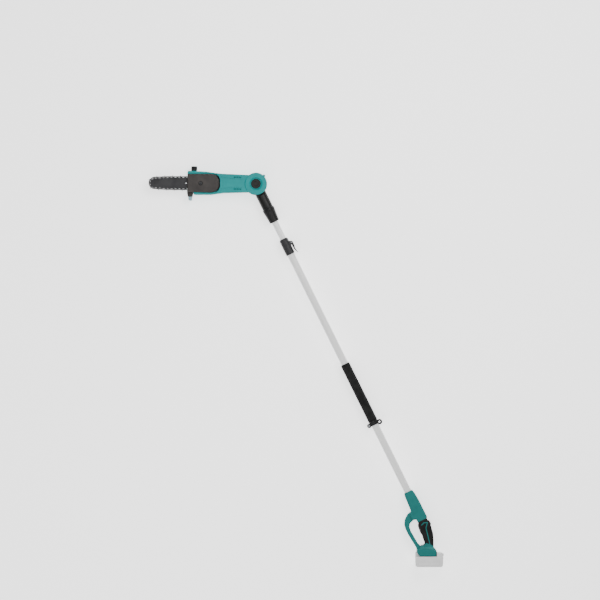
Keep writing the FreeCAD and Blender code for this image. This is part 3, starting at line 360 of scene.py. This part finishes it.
def repeatTree():
    tree = bpy.data.node_groups.new("RepeatAtPoints", "GeometryNodeTree")
    sockets = {}
    for name, kind in (("Geometry", "NodeSocketGeometry"), ("Piece", "NodeSocketObject"),
                       ("Size", "NodeSocketFloat"), ("Wobble", "NodeSocketFloat"), ("Seed", "NodeSocketInt"),
                       ("Finish", "NodeSocketMaterial")):
        sockets[name] = tree.interface.new_socket(name, in_out="INPUT", socket_type=kind).identifier
    tree.interface.new_socket("Geometry", in_out="OUTPUT", socket_type="NodeSocketGeometry")
    given = addNode(tree, "NodeGroupInput").outputs
    source = addNode(tree, "GeometryNodeObjectInfo", {"Object": given["Piece"], "As Instance": True}).outputs
    heading = addNode(tree, "GeometryNodeInputNamedAttribute", {"Name": "heading"},
                      data_type="FLOAT_VECTOR").outputs["Attribute"]
    least = addNode(tree, "ShaderNodeMath", {0: given["Wobble"], 1: -1.0}, operation="MULTIPLY").outputs[0]
    loose = addNode(tree, "FunctionNodeRandomValue", {2: least, 3: given["Wobble"], "Seed": given["Seed"]},
                    data_type="FLOAT").outputs[1]
    sway = addNode(tree, "ShaderNodeCombineXYZ", {"Z": loose}).outputs[0]
    turn = addNode(tree, "ShaderNodeVectorMath", {0: heading, 1: sway}, operation="ADD").outputs[0]
    placed = addNode(tree, "GeometryNodeInstanceOnPoints",
                     {"Points": given["Geometry"], "Instance": source["Geometry"], "Rotation": turn,
                      "Scale": given["Size"]}).outputs[0]
    real = addNode(tree, "GeometryNodeRealizeInstances", {"Geometry": placed}).outputs[0]
    finished = addNode(tree, "GeometryNodeSetMaterial",
                       {"Geometry": real, "Material": given["Finish"]}).outputs[0]
    addNode(tree, "NodeGroupOutput", {0: finished})
    return tree, sockets


repeatNodes, repeatSockets = repeatTree()


def repeated(name, shape, places, material, body, nodes, wobble=0.0, seed=7):
    points = bpy.data.meshes.new(name + "Points")
    points.from_pydata([place for place, turn in places], [], [])
    headings = points.attributes.new("heading", "FLOAT_VECTOR", "POINT")
    for index, (place, turn) in enumerate(places):
        headings.data[index].vector = turn
    sample = bpy.data.objects.new(name + "Sample", meshFrom(name + "Sample", shape))
    holder = bpy.data.objects.new(name + "Points", points)
    for item in (sample, holder):
        bpy.context.scene.collection.objects.link(item)
    nodesModifier = holder.modifiers.new("Repeat", "NODES")
    nodesModifier.node_group = repeatNodes
    for key, value in (("Piece", sample), ("Size", 1.0), ("Wobble", wobble), ("Seed", seed),
                       ("Finish", materials[material])):
        nodesModifier[repeatSockets[key]] = value
    graph = bpy.context.evaluated_depsgraph_get()
    mesh = bpy.data.meshes.new_from_object(holder.evaluated_get(graph), depsgraph=graph)
    for item in (holder, sample):
        bpy.data.objects.remove(item)
    mesh.name = name
    return newObject(name, mesh, material, body, nodes)


def fromHub(node):
    middle = middleOf(node)
    return math.hypot(middle.x - hub.x, middle.y - hub.y) / mm


chain = {"pitch": 18.64, "links": 36, "sprocketTeeth": 6, "noseTeeth": 9,
         "drive": 1.1, "strap": 1.5, "side": 1.6, "rivet": 2.1, "rivetEnd": 2.8, "rivetFace": 2.45,
         "cutterInner": 0.85, "cutterOuter": 2.35, "plateInner": -0.9, "plateOuter": 2.3,
         "rails": ((75.0, 30.4), (205.0, 30.0))}  # distance past the sprocket, half height of the rivet line
chainHeight = middleOf("guide_bar").z
sprocketAt, noseAt = fromHub("drive_sprocket"), fromHub("nose_rivet")


def chainCircles():
    turn = chain["pitch"] / (2 * math.pi)
    rails = [(sprocketAt + x, r) for x, r in chain["rails"]]
    return [(sprocketAt, turn * chain["sprocketTeeth"])] + rails + [(noseAt, turn * chain["noseTeeth"])]


def chainRun():
    circles = chainCircles()
    leans = [math.asin((b[1] - a[1]) / (b[0] - a[0])) for a, b in zip(circles, circles[1:])] + [-math.pi / 2]
    angle, run = math.pi, []
    for (x, r), lean in zip(circles, leans):
        stop = math.pi / 2 + lean
        steps = max(2, round(abs(angle - stop) * 40))
        run += [(x + r * math.cos(angle + (stop - angle) * k / steps),
                 r * math.sin(angle + (stop - angle) * k / steps)) for k in range(steps + 1)]
        angle = stop
    return run + [(x, -y) for x, y in run[-2::-1]]


def alongRun(run, count, shift):
    lengths = [math.dist(a, b) for a, b in zip(run, run[1:])]
    whole, result = sum(lengths), []
    for k in range(count):
        left, index = ((k + shift) / count % 1) * whole, 0
        while left > lengths[index]:
            left -= lengths[index]
            index += 1
        (xa, ya), (xb, yb) = run[index], run[index + 1]
        share = left / lengths[index]
        result.append((xa + (xb - xa) * share, ya + (yb - ya) * share, math.atan2(yb - ya, xb - xa)))
    return result


def headPlace(x, y, height, turn=0.0):
    spot = toHead @ Vector((x * mm, y * mm, 0))
    return (spot.x, spot.y, chainHeight + height * mm), (0, 0, headAngle + turn)


run = chainRun()
driveAt = alongRun(run, chain["links"], 0)
tieAt = alongRun(run, chain["links"], 0.5)
driveLink = [(-7.2, -3.0), (-7.2, 2.6), (7.2, 2.6), (7.2, -3.0), (4.4, -3.4), (1.7, -8.2), (-1.6, -8.2),
             (-3.0, -4.6)]
repeated("DriveLinks", plate(rounded(driveLink, 1.8), -chain["drive"] / 2, chain["drive"] / 2),
         [headPlace(x, y, 0, a) for x, y, a in driveAt], "chainSteel", "head", ["chain_drive_links"])
tieStrap = [(-7.4, -3.2), (-7.4, 3.2), (-3.2, 3.2), (0, 2.2), (3.2, 3.2), (7.4, 3.2), (7.4, -3.2),
            (3.2, -3.2), (0, -2.6), (-3.2, -3.2)]
straps = [(x, y, a, side) for k, (x, y, a) in enumerate(tieAt) for side in (-1, 1)
          if k % 2 or (side > 0) != (k % 4 == 0)]
strapPlaces = [headPlace(x, y, side * chain["side"], a) for x, y, a, side in straps]
repeated("TieStraps", plate(rounded(tieStrap, 2.6), -chain["strap"] / 2, chain["strap"] / 2), strapPlaces,
         "chainSteel", "head", ["chain_tie_straps"])

rivetAt = alongRun(run, 2 * chain["links"], 0.5)
upright = Matrix.Rotation(-math.pi / 2, 4, "Y")
rivetHalf = [(chain["rivetFace"], chain["rivet"]), (chain["rivetEnd"], 1.5), (chain["rivetEnd"], 0.05)]
rivet = [(-x, r) for x, r in rivetHalf[::-1]] + rivetHalf
repeated("ChainRivets", lathe(rivet, upright, 16), [headPlace(x, y, 0, a) for x, y, a in rivetAt], "rivet",
         "head", ["chain_tie_straps"])

cutter = [(-7.4, -3.3), (-7.4, 4.6), (-5.6, 5.2), (-4.0, 2.2), (1.8, 1.8), (3.0, 6.8), (7.4, 6.1),
          (7.4, -3.3)]
cutterTop = [(2.8, 5.6), (2.8, 6.8), (7.4, 6.1), (7.4, 5.0)]
for name, side in (("CuttersLeft", 1), ("CuttersRight", -1)):
    low, high = sorted((side * chain["cutterInner"], side * chain["cutterOuter"]))
    topLow, topHigh = sorted((side * chain["plateInner"], side * chain["plateOuter"]))
    blade = joined(plate(rounded(cutter, 1.0), low, high), plate(cutterTop, topLow, topHigh, 0.15))
    spots = [headPlace(x, y, 0, a) for k, (x, y, a) in enumerate(tieAt) if k % 4 == (0 if side > 0 else 2)]
    repeated(name, blade, spots, "chrome", "head", ["chain_cutters"])
print("chain done")


def solidsOf(node):
    bm = bmesh.new()
    bm.from_mesh(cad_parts[node].data)
    bmesh.ops.remove_doubles(bm, verts=bm.verts, dist=1e-6)
    waiting, boxes = set(bm.verts), []
    while waiting:
        group, edge = set(), [waiting.pop()]
        while edge:
            vert = edge.pop()
            group.add(vert)
            for link in vert.link_edges:
                other = link.other_vert(vert)
                if other in waiting:
                    waiting.discard(other)
                    edge.append(other)
        boxes.append([[pick(v.co[axis] for v in group) for axis in range(3)] for pick in (min, max)])
    bm.free()
    return boxes


screw = {"head": 3.2, "headTall": 2.4, "shank": 1.7, "thread": 0.28, "pitch": 1.3, "recess": 1.7,
         "lobe": 0.72, "tip": 1.5}


def screwShape(length):
    profile = [(0.0, 0.05), (0.0, 2.2), (0.5, 2.9), (1.0, screw["head"]), (screw["headTall"], screw["head"])]
    turns = int((length - screw["headTall"] - 3) / screw["pitch"])
    profile += [(screw["headTall"], screw["shank"])]
    for k in range(turns):
        start = screw["headTall"] + 1 + k * screw["pitch"]
        profile += [(start, screw["shank"] - screw["thread"]), (start + screw["pitch"] / 2, screw["shank"])]
    profile += [(length - screw["tip"], screw["shank"] - screw["thread"]), (length, 0.05)]
    body = lathe(profile, upright, 24)
    low = min(v.co.z for v in body.verts)
    bmesh.ops.translate(body, verts=body.verts, vec=(0, 0, -low))
    # painted shade: the drive recess is a thin dark star sheet on the flat head face, not a hollow
    lobes = [screw["recess"] * (1 if k % 2 else screw["lobe"]) for k in range(12)]
    star = [(r * math.cos(math.pi * k / 6), r * math.sin(math.pi * k / 6)) for k, r in enumerate(lobes)]
    return body, plate(rounded(star, 0.3, 2), -0.02, 0.12, 0.02)


for name, node, body, slot in (("HeadScrews", "head_screws", "head", "steel"),
                               ("HandleScrews", "handle_screws", "handle_pole", "steel")):
    lengths = {}
    for low, high in solidsOf(node):
        lengths.setdefault(round((high[2] - low[2]) / mm, 1), []).append((low, high))
    for index, (length, boxes) in enumerate(sorted(lengths.items())):
        shaft, star = screwShape(length)
        spots = [(((low[0] + high[0]) / 2, (low[1] + high[1]) / 2, low[2]), (0, 0, 0)) for low, high in boxes]
        number = name + str(index + 1)
        repeated(number, shaft, spots, "steel", body, [node], wobble=3.0, seed=11)
        # dark star sheets on the screw heads, painted shade for the drive recesses
        repeated(number + "Recess", star, spots, "recess", body, [node], wobble=3.0, seed=11)
print("screws done")

floorMesh = bpy.data.meshes.new("Floor")
floorMesh.from_pydata([(-9, -9, 0), (9, -9, 0), (9, 9, 0), (-9, 9, 0)], [], [(0, 1, 2, 3)])
floor = bpy.data.objects.new("Floor", floorMesh)
floor.location.z = cadBox[0][2]
bpy.context.scene.collection.objects.link(floor)
floorPaint = bpy.data.materials.new("Studio_paper")
floorPaint.use_nodes = True
floorTree = floorPaint.node_tree
paperPlace = addNode(floorTree, "ShaderNodeTexCoord").outputs["Object"]
paperGrain = noise(floorTree, paperPlace, 900.0).outputs["Fac"]
floorTree.links.new(blendColour(floorTree, paperGrain, linear("FFFFFF"), linear("FCFCFC")),
                    floorTree.nodes["Principled BSDF"].inputs["Base Color"])
paper = floorTree.nodes["Principled BSDF"].inputs
paper["Roughness"].default_value = 0.9
paper["Emission Color"].default_value = (1, 1, 1, 1)
paper["Emission Strength"].default_value = 1.6  # lit from below, as a light table is
floorMesh.materials.append(floorPaint)

world = bpy.data.worlds.new("Studio")
world.use_nodes = True
world.node_tree.nodes["Background"].inputs["Color"].default_value = (1, 1, 1, 1)
world.node_tree.nodes["Background"].inputs["Strength"].default_value = 0.3
bpy.context.scene.world = world


def areaLight(name, place, aim, size, power):
    light = bpy.data.lights.new(name, "AREA")
    light.shape = "RECTANGLE"
    light.size, light.size_y = size
    light.energy = power
    lamp = bpy.data.objects.new(name, light)
    lamp.location = place
    lamp.rotation_euler = (Vector(aim) - Vector(place)).to_track_quat("-Z", "Y").to_euler()
    bpy.context.scene.collection.objects.link(lamp)


view = {"width": 2.85, "distance": 16.0, "fromHub": (-0.5868, 0.0566), "roll": math.radians(243.71)}
aim = hub + Vector((*view["fromHub"], 0))
aim.z = poleAxis.z
areaLight("KeySoftbox", aim + Vector((1.2, -2.0, 3.2)), aim, (2.4, 1.6), 90)
areaLight("FillSoftbox", aim + Vector((-1.5, 2.2, 3.0)), aim, (2.6, 2.0), 40)
areaLight("TopSoftbox", aim + Vector((0, 0, 4.5)), aim, (4.0, 4.0), 95)

camera = bpy.data.cameras.new("PhotoCamera")
camera.sensor_width = 36
camera.lens = 36 * view["distance"] / view["width"]
camera.clip_end = 40
viewer = bpy.data.objects.new("PhotoCamera", camera)
viewer.location = aim + Vector((0, 0, view["distance"]))
viewer.rotation_euler = Euler((0, 0, view["roll"]))
bpy.context.scene.collection.objects.link(viewer)
bpy.context.scene.camera = viewer
